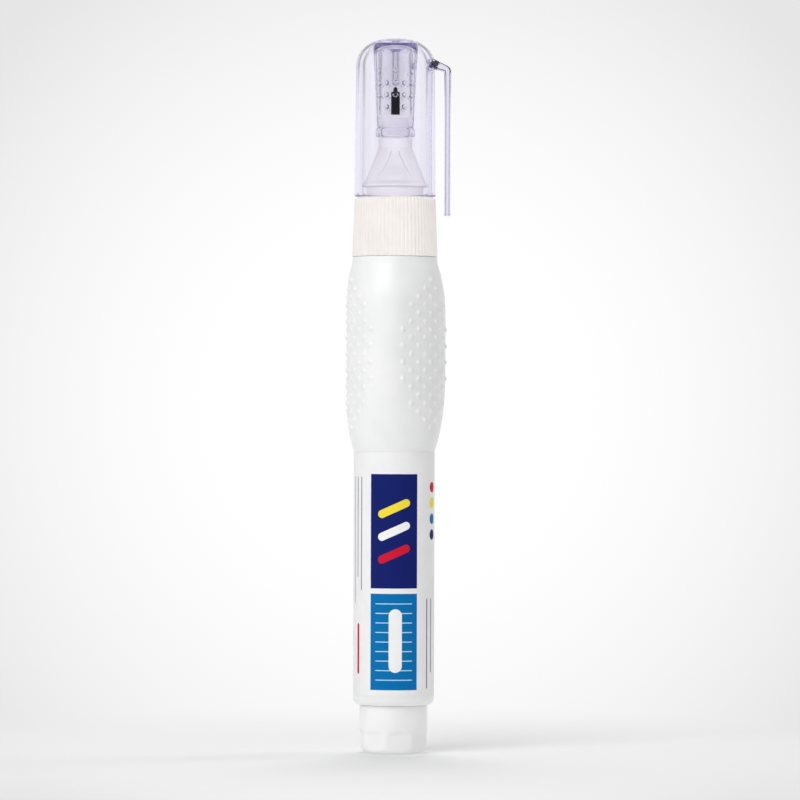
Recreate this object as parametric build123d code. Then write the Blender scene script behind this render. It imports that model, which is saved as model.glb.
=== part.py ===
from build123d import *
from math import atan2, cos, hypot, pi, radians, sin, sqrt
import os

# Squeeze correction pen, in millimetres. The axis is Z, the tail end stands on Z = 0, the front
# is -Y and the pocket clip is on +X. Radii are named radius; heights run up the axis.

# Clearances
press_clearance = 0.02      # pieces pushed or snapped into each other
running_clearance = 0.06    # pieces that slide or turn in each other
seat_clearance = 0.05       # ends that rest on each other
tiny_rounding = 0.15        # broken edges

# Tail plug
plug_step = 0.46            # how far the end that shows stands out from the barrel's mouth
plug_height = 9.2           # the length that shows below the barrel
plug_edge_rounding = 1.6
plug_wall = 0.95
plug_floor = 1.4
plug_dish = 0.6             # rise of the floor from its middle to its wall
plug_bead_rise = 0.22
plug_bead_height = 1.0
flat_count = 8
flat_height = 4.75
flat_depth = 0.4
flat_runout = 1.0           # height of the slope at the top of each flat
flat_turn = 10.5            # degrees, from the front to the first flat

# Barrel
barrel_radius = 7.7
barrel_wall = 1.0
barrel_edge_rounding = 1.25
mouth_lip = 0.7             # how far the mouth that holds the tail plug stands in from the bore
mouth_height = 5.0
mouth_slope = 1.0
panel_height = 48.6         # straight part that carries the label
grip_step = 0.2             # how far the grip stands out from the straight part, at its start,
grip_swell = 2.15           # where it is fullest
grip_end_swell = 0.44       # and at its upper end
grip_rise = 15.2
grip_straight = 9.0
grip_fall = 11.0
grip_face_drop = 1.05       # how far the middle of each face lies inside the full grip
grip_face_radius = 14.0     # of each face, round the pen
shoulder_height = 1.0
shoulder_rounding = 1.0
neck_radius = 6.3
neck_wall = 1.1
neck_height = 8.7
neck_bead_offset = 2.3      # from the shoulder to the bead's underside
neck_bead_rise = 0.35
neck_bead_land = 0.4
neck_bead_slope = 0.9

# Faces of the grip, each with a patch of pips in columns that are centred on the same height
patch_count = 3
patch_turn = 50.5           # degrees, from the front to the middle of the first patch
pip_columns = (4, 7, 8, 9, 10, 9, 8, 7, 4)
pip_column_step = 10.25     # degrees
pip_pitch = 3.1
pip_base_radius = 0.52
pip_height = 0.28
pip_centre_offset = 18.0    # from the start of the grip to the middle of the columns

# Label
label_thickness = 0.08
label_bottom_offset = 1.9   # from the barrel's lower end
label_top_offset = 0.5      # from the start of the grip
label_seam_gap = 0.6        # between the film's two ends, at the back

# Collar
collar_gap = 0.35           # from the barrel's shoulder
collar_lip_height = 1.15    # band above the nose's flange
collar_bottom_wall = 1.32   # outside the nose's flange, at its lower and upper end
collar_top_wall = 0.87
collar_top_rounding = 0.6
rib_count = 66
rib_depth = 0.13

# Neck seal
seal_thickness = 0.5

# Nose cone
flange_overhang = 0.5       # how far the flange stands out from the neck
flange_height = 1.2
flange_step = 0.45          # from the flange in to the spigot
spigot_height = 4.0
nose_shoulder_height = 1.2
nose_shoulder_inset = 0.57  # from the spigot in to the cone's base
cone_height = 5.3
nose_neck_wall = 0.68       # round the tip holder's stem
nose_neck_height = 1.9
nose_plug_depth = 3.7       # ring that reaches into the neck
nose_plug_wall = 0.95
nose_hollow_height = 1.6    # from the flange's underside to the end of the hollow
nose_hollow_slope = 1.3
facet_count = 3
facet_ledge_gap = 0.9       # from the cone's base up to the ledge
facet_top_depth = 0.06      # how far the flat lies inside the cone, at its top and at its ledge
facet_ledge_depth = 1.02

# Tip holder
holder_wall = 1.0
holder_length = 13.8        # below its shoulder in the nose
holder_shoulder_step = 0.38 # from the body in to the stem
holder_stem_height = 4.3    # above the nose
holder_chamfer = 0.38
holder_shoulder_wall = 4.0  # from the shoulder in the nose up to the nose's top
chamber_radius = 1.9

# Metal tip
tip_wall = 0.4
tip_height = 4.7            # from the holder to the nub
tip_edge_rounding = 0.3
nub_wall = 0.08
nub_height = 0.7
tip_bore_radius = 0.45
orifice_radius = 0.31
orifice_height = 1.1
orifice_slope = 0.3
tip_flange_step = 0.37      # from the tube out to the flange's edge
tip_flange_height = 0.8
tip_flange_seat = 1.6       # from the holder's shoulder up to the flange's upper face
tip_mouth_flare = 0.4       # from the bore out to the mouth's edge
tip_mouth_depth = 0.5

# Needle and carrier
needle_projection = 0.25    # beyond the nub, at rest
needle_step = 0.35          # slope from the shank to the thin end
needle_press = 0.5          # travel
needle_grip = 2.0           # length held in the carrier
carrier_height = 4.4
carrier_nose_radius = 1.25
carrier_nose_height = 1.0
carrier_spigot_radius = 0.8
carrier_spigot_height = 1.2
flute_count = 3
flute_radius = 0.55

# Spring and retainer
wire_diameter = 0.3
spring_radius = 1.25        # middle of the wire
spring_turns = 8
retainer_plug_height = 1.5
retainer_flange_step = 0.7  # from the chamber out to the flange's edge
retainer_flange_height = 0.6
retainer_hole_radius = 0.8

# Mixing ball
ball_radius = 2.5

# Cap
cap_height = 30.0
cap_rim_wall = 1.32         # round the nose's spigot
cap_draft = 0.18            # how far the side leans in from the rim to the shoulder
cap_shoulder_inset = 2.25   # from the side in to the crease round the top
cap_shoulder_rise = 4.2     # height of the rounded shoulder
crown_rise = 1.0            # from the crease to the highest ring of the top
crown_radius = 2.2          # that ring
crown_bulge = 0.2           # how far the top stands above a straight slope
dimple_depth = 0.6
cap_wall = 1.21             # at the shoulder
roof_drop = 1.75            # from the cap's top to the roof beside the sleeve
roof_rise = 3.45            # height of the rounded roof
sleeve_root_wall = 1.14     # round the bore, at the roof
sleeve_mouth_wall = 1.05    # round the land, at the mouth
sleeve_mouth_gap = 0.2      # above the nose
sleeve_land = 1.8           # height of the band that closes on the holder
sleeve_slope = 2.4
sleeve_relief = 0.54        # how far the bore widens above the land
cap_top_wall = 1.9          # from the top of the bore to the cap's top
sleeve_bore_rounding = 1.2
post_radius = 0.69
post_gap = 0.3              # from the needle to the post
bump_columns = 12
bump_rows = 3
bump_pitch = 2.26
bump_low_gap = 1.5          # from the sleeve's slope to the lowest bump of the lower columns
bump_base_radius = 0.42
bump_height = 0.2

# Pocket clip
clip_width = 4.0
clip_gap = 1.5              # from the cap's rim to the strip
clip_thickness = 1.35
clip_root_drop = 4.9        # from the cap's top to the middle of the root
clip_root_radius = 0.8
clip_taper = 4.3            # height in which the root narrows to the strip
clip_length = 28.7          # from the root's middle to the lower end
clip_end_radius = 0.7
bridge_rise = 0.95          # top of the bridge above the root's middle, at the cap
bridge_end_rise = 0.55      # and at its outer end
bridge_drop = 0.8           # underside of the bridge below the root's middle

# Heights worked out from the sizes above
barrel_bottom = plug_height
grip_bottom = barrel_bottom + panel_height
grip_full = grip_bottom + grip_rise
grip_narrowing = grip_full + grip_straight
grip_top = grip_narrowing + grip_fall
shoulder = grip_top + shoulder_height
neck_top = shoulder + neck_height
collar_bottom = shoulder + collar_gap
flange_bottom = neck_top + seal_thickness
flange_top = flange_bottom + flange_height
collar_lip_bottom = flange_top + seat_clearance
collar_top = collar_lip_bottom + collar_lip_height
cone_bottom = flange_top + spigot_height + nose_shoulder_height
cone_top = cone_bottom + cone_height
nose_top = cone_top + nose_neck_height
holder_shoulder = nose_top - holder_shoulder_wall
holder_bottom = holder_shoulder - holder_length
holder_top = nose_top + holder_stem_height
tip_flange_top = holder_shoulder + tip_flange_seat
tip_flange_bottom = tip_flange_top - tip_flange_height
tip_shoulder = holder_top + tip_height
tip_top = tip_shoulder + nub_height
needle_top = tip_top + needle_projection
carrier_top = tip_flange_bottom - seat_clearance
carrier_bottom = carrier_top - carrier_nose_height - carrier_height
retainer_top = holder_bottom + retainer_plug_height
retainer_bottom = holder_bottom - retainer_flange_height
cap_rim = collar_top + 2 * seat_clearance
cap_top = cap_rim + cap_height
crease = cap_top - crown_rise
cap_shoulder = crease - cap_shoulder_rise
roof = cap_top - roof_drop
roof_start = roof - roof_rise
sleeve_mouth = nose_top + sleeve_mouth_gap
sleeve_bore_end = cap_top - cap_top_wall
clip_pivot = cap_top - clip_root_drop
clip_bottom = clip_pivot - clip_length

# Radii worked out from the sizes above
mouth_radius = barrel_radius - barrel_wall - mouth_lip
plug_radius = mouth_radius + plug_step
grip_start_radius = barrel_radius + grip_step
grip_radius = barrel_radius + grip_swell
grip_end_radius = barrel_radius + grip_end_swell
face_centre = grip_face_radius - grip_radius + grip_face_drop  # from the axis back to the arc's middle
neck_bore_radius = neck_radius - neck_wall
flange_radius = neck_radius + flange_overhang
spigot_radius = flange_radius - flange_step
collar_bottom_radius = flange_radius + collar_bottom_wall
collar_top_radius = flange_radius + collar_top_wall
holder_radius = chamber_radius + holder_wall
holder_stem_radius = holder_radius - holder_shoulder_step
cone_base_radius = spigot_radius - nose_shoulder_inset
cone_top_radius = holder_stem_radius + nose_neck_wall
tip_radius = tip_bore_radius + tip_wall
tip_flange_radius = tip_radius + tip_flange_step
tip_mouth_radius = tip_bore_radius + tip_mouth_flare
nub_radius = orifice_radius + nub_wall
retainer_flange_radius = chamber_radius + retainer_flange_step
plug_spigot_radius = mouth_radius - press_clearance
plug_inner_radius = plug_spigot_radius - plug_wall
label_inner_radius = barrel_radius - label_thickness
nose_plug_radius = neck_bore_radius - running_clearance
nose_bore_radius = holder_radius + press_clearance
carrier_radius = chamber_radius - running_clearance
needle_radius = tip_bore_radius - running_clearance
needle_end_radius = orifice_radius - running_clearance
sleeve_land_radius = holder_stem_radius + running_clearance
sleeve_bore_radius = sleeve_land_radius + sleeve_relief
sleeve_mouth_radius = sleeve_land_radius + sleeve_mouth_wall
sleeve_root_radius = sleeve_bore_radius + sleeve_root_wall
cap_mouth_radius = spigot_radius + running_clearance
cap_rim_radius = cap_mouth_radius + cap_rim_wall
cap_shoulder_radius = cap_rim_radius - cap_draft
cap_inner_radius = cap_shoulder_radius - cap_wall
crease_radius = cap_shoulder_radius - cap_shoulder_inset
clip_inner = cap_rim_radius + clip_gap
clip_outer = clip_inner + clip_thickness
clip_pivot_radius = (clip_inner + clip_outer) / 2


def around(radius, turn, height=0):
    """A point at a turn in degrees from the front, towards the clip."""
    return (radius * sin(radians(turn)), -radius * cos(radians(turn)), height)


def facing(turn):
    """The location on the axis whose local X points out at that turn."""
    return Rot(0, 0, turn - 90)


def turned(*corners):
    """A solid of revolution from its half section: corners (radius, height) or (..., rounding)."""
    roundings = [corner[2] if len(corner) == 3 else 0 for corner in corners]
    outline = FilletPolyline(*[corner[:2] for corner in corners], radius=roundings, close=True)
    return revolve(make_face(Plane.XZ * outline), Axis.Z)


def turned_edges(*edges):
    """A solid of revolution from the edges of its half section."""
    return revolve(make_face(Plane.XZ * (Curve() + list(edges))), Axis.Z)


def rings(solid):
    """The circular edges of a turned solid, lowest first."""
    return solid.edges().filter_by(GeomType.CIRCLE).group_by(Axis.Z)


def sagged(length, drop, distance):
    """How far an arc that falls by drop over length has fallen after distance."""
    arc_radius = (length**2 + drop**2) / (2 * drop)
    return arc_radius - sqrt(arc_radius**2 - distance**2)


def dome(base_radius, height):
    """A ball and the depth of its middle below a surface, so that a dome of that size stands out."""
    ball = (base_radius**2 + height**2) / (2 * height)
    return Sphere(ball), ball - height


def barrel_side(inset):
    """The barrel's side from its straight part over the grip to the shoulder."""
    full = grip_radius - inset
    start = (grip_start_radius - inset, grip_bottom)
    end = (grip_end_radius - inset, grip_top)
    return [
        TangentArc((full, grip_full), start, tangent=(0, -1)),
        Line((full, grip_full), (full, grip_narrowing)),
        TangentArc((full, grip_narrowing), end, tangent=(0, 1)),
    ]


def grip_surface(height):
    """The grip's radius at a height."""
    if height < grip_full:
        return grip_radius - sagged(grip_rise, grip_radius - grip_start_radius, grip_full - height)
    if height > grip_narrowing:
        drop = grip_radius - grip_end_radius
        return grip_radius - sagged(grip_fall, drop, height - grip_narrowing)
    return grip_radius


def face_distance(turn):
    """How far the nearest face of the grip lies from the axis, at a turn."""
    step = 360 / patch_count
    off = radians((turn - patch_turn + step / 2) % step - step / 2)
    return sqrt(grip_face_radius**2 - (face_centre * sin(off)) ** 2) - face_centre * cos(off)


def faced(solid, inset):
    """The solid cut back to the grip's faces, or to faces that lie inset from them."""
    height = 3 * neck_top
    for patch in range(patch_count):
        place = around(-face_centre, patch_turn + patch * 360 / patch_count)
        solid &= Pos(*place) * Cylinder(grip_face_radius - inset, height)
    return solid


def pips():
    """The raised pips on the grip's faces."""
    ball, depth = dome(pip_base_radius, pip_height)
    middle = grip_bottom + pip_centre_offset
    for patch in range(patch_count):
        for column, count in enumerate(pip_columns):
            turn = patch_turn + patch * 360 / patch_count
            turn += (column - (len(pip_columns) - 1) / 2) * pip_column_step
            for row in range(count):
                height = middle + (row - (count - 1) / 2) * pip_pitch
                surface = min(grip_surface(height), face_distance(turn))
                place = around(surface - depth, turn, height)
                yield Pos(*place) * facing(turn + 180) * ball


def make_barrel():
    """Squeeze bottle, open at both ends, with a three-faced grip and a snap bead on its neck."""
    end_slope = 2 * (grip_radius - grip_end_radius) / grip_fall
    shoulder_edge = (grip_end_radius - end_slope * shoulder_height, shoulder)
    outside = turned_edges(
        *barrel_side(0),
        Polyline(
            (grip_start_radius, grip_bottom),
            (barrel_radius, grip_bottom),
            (barrel_radius, barrel_bottom),
            (0, barrel_bottom),
            (0, shoulder),
            shoulder_edge,
            (grip_end_radius, grip_top),
        ),
    )
    outside = fillet(rings(outside)[0], barrel_edge_rounding)
    outside = fillet(rings(outside)[-1], shoulder_rounding)
    inner = barrel_radius - barrel_wall
    mouth_top = barrel_bottom + mouth_height
    inside = turned_edges(
        *barrel_side(barrel_wall),
        Polyline(
            (grip_start_radius - barrel_wall, grip_bottom),
            (inner, grip_bottom),
            (inner, mouth_top + mouth_slope),
            (mouth_radius, mouth_top),
            (mouth_radius, barrel_bottom),
            (0, barrel_bottom),
            (0, neck_top),
            (neck_bore_radius, neck_top),
            (neck_bore_radius, grip_top),
            (grip_end_radius - barrel_wall, grip_top),
        ),
    )
    bead_bottom = shoulder + neck_bead_offset
    bead_top = bead_bottom + neck_bead_land
    neck = turned(
        (0, grip_top),
        (neck_radius, grip_top),
        (neck_radius, bead_bottom),
        (neck_radius + neck_bead_rise, bead_bottom, tiny_rounding),
        (neck_radius + neck_bead_rise, bead_top, tiny_rounding),
        (neck_radius, bead_top + neck_bead_slope),
        (neck_radius, neck_top, tiny_rounding),
        (0, neck_top),
    )
    label_seat = turned(
        (label_inner_radius - press_clearance, barrel_bottom + label_bottom_offset - seat_clearance),
        (barrel_radius + label_thickness, barrel_bottom + label_bottom_offset - seat_clearance),
        (barrel_radius + label_thickness, grip_bottom - label_top_offset + seat_clearance),
        (label_inner_radius - press_clearance, grip_bottom - label_top_offset + seat_clearance),
    )
    return (faced(outside, 0) + list(pips()) + neck) - faced(inside, barrel_wall) - label_seat


def make_label_film():
    """Wrap with a narrow seam at the back."""
    bottom = barrel_bottom + label_bottom_offset
    top = grip_bottom - label_top_offset
    outer = label_inner_radius + label_thickness
    film = turned((label_inner_radius, bottom), (outer, bottom), (outer, top), (label_inner_radius, top))
    seam = Pos(*around(outer, 180, (bottom + top) / 2)) * Box(label_seam_gap, outer, 2 * (top - bottom))
    return film - seam


def make_tail_plug():
    """Cup that snaps into the barrel's mouth, with flats round the end that shows."""
    mouth_top = barrel_bottom + mouth_height
    top = mouth_top + mouth_slope + plug_bead_height
    bead = plug_spigot_radius + plug_bead_rise
    cup = turned(
        (0, 0),
        (plug_radius, 0, plug_edge_rounding),
        (plug_radius, plug_height),
        (plug_spigot_radius, plug_height),
        (plug_spigot_radius, mouth_top + seat_clearance),
        (bead, mouth_top + mouth_slope, tiny_rounding),
        (plug_spigot_radius - plug_bead_rise, top),
        (plug_inner_radius, top),
        (plug_inner_radius, plug_floor + plug_dish),
        (0, plug_floor),
    )
    flat = plug_radius - flat_depth
    outline = Plane.XZ * Polyline(
        (flat, -plug_edge_rounding),
        (flat, flat_height - flat_runout),
        (plug_radius, flat_height),
        (2 * plug_radius, flat_height),
        (2 * plug_radius, -plug_edge_rounding),
        close=True,
    )
    cutter = extrude(make_face(outline), plug_radius, both=True)
    turns = [flat_turn + index * 360 / flat_count for index in range(flat_count)]
    return cup - [facing(turn) * cutter for turn in turns]


def make_mixing_ball():
    """Loose steel ball, just above the dish of the tail plug."""
    slope = atan2(plug_dish, plug_inner_radius)
    return Pos(0, 0, plug_floor + ball_radius / cos(slope) + seat_clearance) * Sphere(ball_radius)


def rib_ring(radius, height):
    """A closed ring of points that alternate between the ribs' crests and the grooves."""
    steps = 2 * rib_count
    points = [around(radius - rib_depth * (step % 2), step * 360 / steps, height) for step in range(steps)]
    return make_face(Polyline(*points, close=True))


def make_ribbed_collar():
    """Ribbed ring that snaps over the neck and holds the nose's flange down."""
    edge = collar_top_rounding
    quarter = edge * (1 - cos(radians(45)))
    outlines = [
        rib_ring(collar_bottom_radius - tiny_rounding, collar_bottom),
        rib_ring(collar_bottom_radius, collar_bottom + tiny_rounding),
        rib_ring(collar_top_radius, collar_top - edge),
        rib_ring(collar_top_radius - quarter, collar_top - quarter),
        rib_ring(collar_top_radius - edge, collar_top),
    ]
    ribbed = loft(outlines, ruled=True)
    bead_top = shoulder + neck_bead_offset - seat_clearance
    bead = neck_radius + running_clearance
    bore = flange_radius + running_clearance
    lip = spigot_radius + 2 * running_clearance
    hole = turned(
        (0, collar_bottom),
        (bore, collar_bottom),
        (bead, collar_bottom + bore - bead),
        (bead, bead_top),
        (bore, bead_top),
        (bore, collar_lip_bottom),
        (lip, collar_lip_bottom),
        (lip, collar_top),
        (0, collar_top),
    )
    return ribbed - hole


def make_neck_seal():
    """Flat washer on the neck."""
    return turned(
        (neck_bore_radius, neck_top),
        (neck_radius, neck_top),
        (neck_radius, flange_bottom),
        (neck_bore_radius, flange_bottom),
    )


def make_nose_cone():
    """Flanged cone with a plug ring below, a stepped bore and flats on the cone."""
    plug_bottom = flange_bottom - nose_plug_depth
    hollow_radius = nose_plug_radius - nose_plug_wall
    hollow_top = flange_bottom + nose_hollow_height
    stem_bore = holder_stem_radius + press_clearance
    cone = turned(
        (hollow_radius, plug_bottom),
        (nose_plug_radius, plug_bottom, tiny_rounding),
        (nose_plug_radius, flange_bottom),
        (flange_radius, flange_bottom),
        (flange_radius, flange_top, tiny_rounding),
        (spigot_radius, flange_top),
        (spigot_radius, flange_top + spigot_height, tiny_rounding),
        (cone_base_radius, cone_bottom),
        (cone_top_radius, cone_top),
        (cone_top_radius, nose_top, tiny_rounding),
        (stem_bore, nose_top),
        (stem_bore, holder_shoulder),
        (nose_bore_radius, holder_shoulder),
        (nose_bore_radius, hollow_top + nose_hollow_slope),
        (hollow_radius, hollow_top),
    )
    ledge = cone_bottom + facet_ledge_gap
    cone_lean = (cone_base_radius - cone_top_radius) / cone_height
    ledge_radius = cone_top_radius + (cone_top - ledge) * cone_lean
    outline = Plane.XZ * Polyline(
        (ledge_radius - facet_ledge_depth, ledge),
        (cone_top_radius - facet_top_depth, cone_top),
        (2 * flange_radius, cone_top),
        (2 * flange_radius, ledge),
        close=True,
    )
    cutter = extrude(make_face(outline), flange_radius, both=True)
    turns = [index * 360 / facet_count for index in range(facet_count)]
    return cone - [facing(turn) * cutter for turn in turns]


def make_tip_holder():
    """Tube pushed up into the nose, which holds the metal tip and the valve."""
    flange_bore = tip_flange_radius + press_clearance
    tip_bore = tip_radius + press_clearance
    return turned(
        (chamber_radius, holder_bottom),
        (holder_radius, holder_bottom, tiny_rounding),
        (holder_radius, holder_shoulder),
        (holder_stem_radius, holder_shoulder),
        (holder_stem_radius, holder_top - holder_chamfer),
        (holder_stem_radius - holder_chamfer, holder_top),
        (tip_bore, holder_top),
        (tip_bore, tip_flange_top),
        (flange_bore, tip_flange_top),
        (flange_bore, tip_flange_bottom),
        (chamber_radius, tip_flange_bottom),
    )


def make_metal_tip():
    """Flanged metal tube with a small nub at its end."""
    return turned(
        (tip_mouth_radius, tip_flange_bottom),
        (tip_flange_radius, tip_flange_bottom),
        (tip_flange_radius, tip_flange_top),
        (tip_radius, tip_flange_top),
        (tip_radius, tip_shoulder, tip_edge_rounding),
        (nub_radius, tip_shoulder),
        (nub_radius, tip_top),
        (orifice_radius, tip_top),
        (orifice_radius, tip_top - orifice_height),
        (tip_bore_radius, tip_top - orifice_height - orifice_slope),
        (tip_bore_radius, tip_flange_bottom + tip_mouth_depth),
    )


def make_valve_needle():
    """Stepped wire whose thin end stands just out of the nub."""
    thin_bottom = tip_top - orifice_height - orifice_slope - needle_press
    return turned(
        (0, carrier_top - needle_grip),
        (needle_radius, carrier_top - needle_grip),
        (needle_radius, thin_bottom),
        (needle_end_radius, thin_bottom + needle_step),
        (needle_end_radius, needle_top, needle_end_radius / 2),
        (0, needle_top),
    )


def make_needle_carrier():
    """Poppet with a nose that closes the tip's mouth, grooves for the fluid and a spigot."""
    body_top = carrier_bottom + carrier_height
    carrier = turned(
        (0, carrier_bottom - carrier_spigot_height),
        (carrier_spigot_radius, carrier_bottom - carrier_spigot_height),
        (carrier_spigot_radius, carrier_bottom),
        (carrier_radius, carrier_bottom, tiny_rounding),
        (carrier_radius, body_top, tiny_rounding),
        (carrier_nose_radius, body_top),
        (tip_mouth_radius, carrier_top),
        (0, carrier_top),
    )
    groove = Pos(carrier_radius, 0, carrier_bottom) * Cylinder(flute_radius, 4 * carrier_height)
    needle_hole = Pos(0, 0, carrier_top) * Cylinder(needle_radius + press_clearance, 2 * needle_grip)
    turns = [index * 360 / flute_count for index in range(flute_count)]
    return carrier - [facing(turn) * groove for turn in turns] - needle_hole


def biarc(start, start_way, end, end_way):
    """Two arcs that leave start and reach end along the given directions."""
    chord = end - start
    ways = start_way + end_way
    spread = 2 * (1 - start_way.dot(end_way))
    along = chord.dot(ways)
    reach = (sqrt(along**2 + spread * chord.dot(chord)) - along) / spread
    first = start + start_way * reach
    second = end - end_way * reach
    middle = (first + second) / 2
    return [
        TangentArc(start, middle, tangent=start_way),
        TangentArc(middle, end, tangent=second - first),
    ]


def make_valve_spring():
    """Wire spring between the retainer and the carrier, wound from quarter turns."""
    bottom = retainer_top + wire_diameter / 2 + seat_clearance
    top = carrier_bottom - wire_diameter / 2 - seat_clearance
    quarters = 4 * spring_turns
    rise = (top - bottom) / quarters
    places = []
    ways = []
    for quarter in range(quarters + 1):
        turn = quarter * pi / 2
        places.append(Vector(spring_radius * cos(turn), spring_radius * sin(turn), bottom + quarter * rise))
        climb = rise / (spring_radius * pi / 2)
        ways.append(Vector(-sin(turn), cos(turn), climb).normalized())
    path = []
    for quarter in range(quarters):
        path += biarc(places[quarter], ways[quarter], places[quarter + 1], ways[quarter + 1])
    print("valve_spring gap between turns, mm:", round(turn_gap(path), 3))
    section = Plane(origin=places[0], z_dir=ways[0]) * Circle(wire_diameter / 2)
    return sweep(section, path=Wire(path))


def turn_gap(path):
    """The least clear distance between neighbouring turns, measured on points of the path."""
    samples = 6
    points = [edge.position_at(step / samples) for edge in path for step in range(samples)]
    per_turn = len(points) // spring_turns
    apart = per_turn // 2
    gaps = []
    for index, point in enumerate(points):
        for other in points[index + apart:index + per_turn + apart]:
            gaps.append((point - other).length)
    return min(gaps) - wire_diameter


def make_spring_retainer():
    """Flanged plug in the holder's lower end, with a hole for the fluid."""
    plug_radius_in_chamber = chamber_radius - press_clearance
    return turned(
        (retainer_hole_radius, retainer_bottom),
        (retainer_flange_radius, retainer_bottom, tiny_rounding),
        (retainer_flange_radius, holder_bottom),
        (plug_radius_in_chamber, holder_bottom),
        (plug_radius_in_chamber, retainer_top),
        (retainer_hole_radius, retainer_top),
    )


def bumps():
    """Small bumps on the sleeve's bore, in columns that are staggered by one pitch."""
    ball, depth = dome(bump_base_radius, bump_height)
    slope_top = sleeve_mouth + sleeve_land + sleeve_slope
    for column in range(bump_columns):
        turn = column * 360 / bump_columns
        lowest = slope_top + bump_low_gap + bump_pitch * ((column + 1) % 2)
        for row in range(bump_rows):
            place = around(sleeve_bore_radius + depth, turn, lowest + row * bump_pitch)
            yield Pos(*place) * facing(turn) * ball


def clip_block(outline):
    """A block of the clip's width from an outline in the plane of the clip."""
    return extrude(make_face(Plane.XZ * outline), clip_width / 2, both=True)


def pivot_rod(radius):
    """A rod along the line that the clip bends about."""
    return Pos(clip_pivot_radius, 0, clip_pivot) * Rot(90, 0, 0) * Cylinder(radius, clip_width)


def make_bridge():
    """Short arm from the cap's wall to the root of the clip."""
    wall_middle = cap_shoulder_radius - cap_wall / 2
    room = clip_root_radius + running_clearance
    outer = clip_pivot_radius - room
    arm = clip_block(
        Polyline(
            (wall_middle, clip_pivot - bridge_drop),
            (outer, clip_pivot - bridge_drop),
            (outer, clip_pivot),
            (clip_pivot_radius - sqrt(room**2 - bridge_end_rise**2), clip_pivot + bridge_end_rise),
            (wall_middle, clip_pivot + bridge_rise),
            close=True,
        )
    )
    return arm - pivot_rod(room)


def make_cap():
    """Clear shell with a sealing sleeve round the tip and a post above it, in one moulding."""
    slope_middle = ((crease_radius + crown_radius) / 2, (crease + cap_top) / 2)
    run = hypot(crease_radius - crown_radius, cap_top - crease)
    crown_way = ((cap_top - crease) / run * crown_bulge, (crease_radius - crown_radius) / run * crown_bulge)
    crown_middle = (slope_middle[0] + crown_way[0], slope_middle[1] + crown_way[1])
    outside = turned_edges(
        Line((0, cap_rim), (cap_rim_radius, cap_rim)),
        Line((cap_rim_radius, cap_rim), (cap_shoulder_radius, cap_shoulder)),
        TangentArc((cap_shoulder_radius, cap_shoulder), (crease_radius, crease), tangent=(0, 1)),
        ThreePointArc((crease_radius, crease), crown_middle, (crown_radius, cap_top)),
        TangentArc((0, cap_top - dimple_depth), (crown_radius, cap_top), tangent=(1, 0)),
        Line((0, cap_rim), (0, cap_top - dimple_depth)),
    )
    outside = fillet(rings(outside)[0], tiny_rounding)
    hollow = turned_edges(
        Line((0, cap_rim), (cap_mouth_radius, cap_rim)),
        Line((cap_mouth_radius, cap_rim), (cap_inner_radius, roof_start)),
        TangentArc((cap_inner_radius, roof_start), (sleeve_root_radius, roof), tangent=(0, 1)),
        Polyline((sleeve_root_radius, roof), (0, roof), (0, cap_rim)),
    )
    sleeve = turned(
        (0, sleeve_mouth),
        (sleeve_mouth_radius, sleeve_mouth, tiny_rounding),
        (sleeve_root_radius, roof),
        (0, roof),
    )
    land_top = sleeve_mouth + sleeve_land
    bore = turned(
        (0, sleeve_mouth),
        (sleeve_land_radius, sleeve_mouth),
        (sleeve_land_radius, land_top),
        (sleeve_bore_radius, land_top + sleeve_slope),
        (sleeve_bore_radius, sleeve_bore_end, sleeve_bore_rounding),
        (0, sleeve_bore_end),
    )
    post_bottom = needle_top + post_gap
    post = turned(
        (0, post_bottom),
        (post_radius, post_bottom, tiny_rounding),
        (post_radius, sleeve_bore_end + tiny_rounding),
        (0, sleeve_bore_end + tiny_rounding),
    )
    shell = (outside + make_bridge()) - hollow
    return (shell + sleeve) - bore + list(bumps()) + post


def make_pocket_clip():
    """Springy strip that bends at its rounded root."""
    end_middle = clip_bottom + clip_end_radius
    strip = clip_block(
        Polyline(
            (clip_pivot_radius - clip_root_radius, clip_pivot),
            (clip_pivot_radius + clip_root_radius, clip_pivot),
            (clip_outer, clip_pivot - clip_taper),
            (clip_outer, end_middle),
            (clip_inner, end_middle),
            (clip_inner, clip_pivot - clip_taper),
            close=True,
        )
    )
    end = Pos(clip_pivot_radius, 0, end_middle) * Rot(90, 0, 0) * Cylinder(clip_end_radius, clip_width)
    return strip + pivot_rod(clip_root_radius) + end


pieces = {
    "barrel": make_barrel,
    "label_film": make_label_film,
    "tail_plug": make_tail_plug,
    "mixing_ball": make_mixing_ball,
    "ribbed_collar": make_ribbed_collar,
    "neck_seal": make_neck_seal,
    "nose_cone": make_nose_cone,
    "tip_holder": make_tip_holder,
    "metal_tip": make_metal_tip,
    "valve_needle": make_valve_needle,
    "needle_carrier": make_needle_carrier,
    "valve_spring": make_valve_spring,
    "spring_retainer": make_spring_retainer,
    "cap": make_cap,
    "pocket_clip": make_pocket_clip,
}

os.makedirs("parts", exist_ok=True)
for name, make in pieces.items():
    export_step(make(), os.path.join("parts", name + ".step"))
print("pieces:", len(pieces), " overall height, mm:", round(cap_top, 2))
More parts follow.
